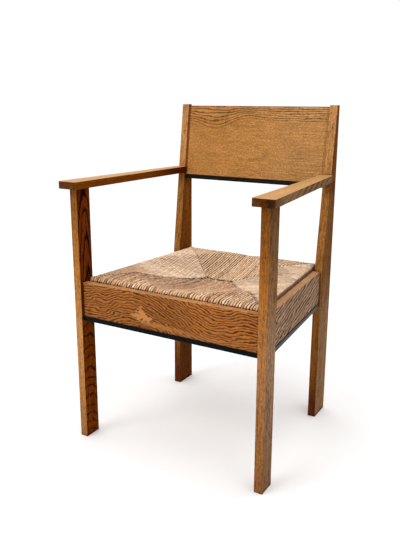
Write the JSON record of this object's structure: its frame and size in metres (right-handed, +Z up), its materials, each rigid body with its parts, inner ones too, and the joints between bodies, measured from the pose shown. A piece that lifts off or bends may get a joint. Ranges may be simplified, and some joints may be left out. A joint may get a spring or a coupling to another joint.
{
  "type": "armchair",
  "caption": "Armchair of flat oak boards with a plain panel back, flat arms that widen to the front, dark strips under the rails and a drop-in seat woven in rush.",
  "frame": {"origin": "on the floor, under the centre of the chair's bounding box", "axes": "+X to the right arm as seen from the front, across the chair's mirror plane; -Y to the front; +Z up"},
  "size_m": [0.5736, 0.506, 0.86],
  "materials": {
    "oak_legs": "waxed oak, medium brown, straight grain, satin",
    "oak_rails": "waxed oak, strong dark figure, satin",
    "oak_arms": "waxed oak, worn lighter on top, satin",
    "oak_panel": "waxed oak, golden brown, fine fleck, satin",
    "ebonised_strip": "black stain, semi-gloss",
    "inner_wood": "unfinished hardwood",
    "rush": "twisted natural rush, dry",
    "rush_stuffing": "loose dry rush",
    "steel_screws": "plain steel"
  },
  "bodies": {
    "frame": {"front_leg_left": "oak_legs", "front_leg_right": "oak_legs", "back_post_left": "oak_legs", "back_post_right": "oak_legs", "front_rail": "oak_rails", "back_rail": "oak_rails", "side_rail_left": "oak_rails", "side_rail_right": "oak_rails", "front_rail_strip": "ebonised_strip", "back_rail_strip": "ebonised_strip", "side_strip_left": "ebonised_strip", "side_strip_right": "ebonised_strip", "armrest_left": "oak_arms", "armrest_right": "oak_arms", "arm_leg_dowels": "inner_wood", "arm_post_dowels": "inner_wood", "backrest_panel": "oak_panel", "backrest_strip": "ebonised_strip", "panel_dowels": "inner_wood", "corner_block_front_left": "inner_wood", "corner_block_front_right": "inner_wood", "corner_block_rear_left": "inner_wood", "corner_block_rear_right": "inner_wood", "corner_block_screws": "steel_screws", "seat_ledge_front": "inner_wood", "seat_ledge_back": "inner_wood", "seat_ledge_left": "inner_wood", "seat_ledge_right": "inner_wood", "seat_ledge_screws": "steel_screws"},
    "drop_in_seat": {"rush_weave": "rush", "rush_stuffing": "rush_stuffing", "seat_frame_front": "inner_wood", "seat_frame_back": "inner_wood", "seat_frame_left": "inner_wood", "seat_frame_right": "inner_wood"}
  },
  "joints": [
    {"name": "seat_lift", "type": "slide", "parent": "frame", "child": "drop_in_seat", "axis": [0, 0, 1], "range_m": [0, 0.15]}
  ]
}
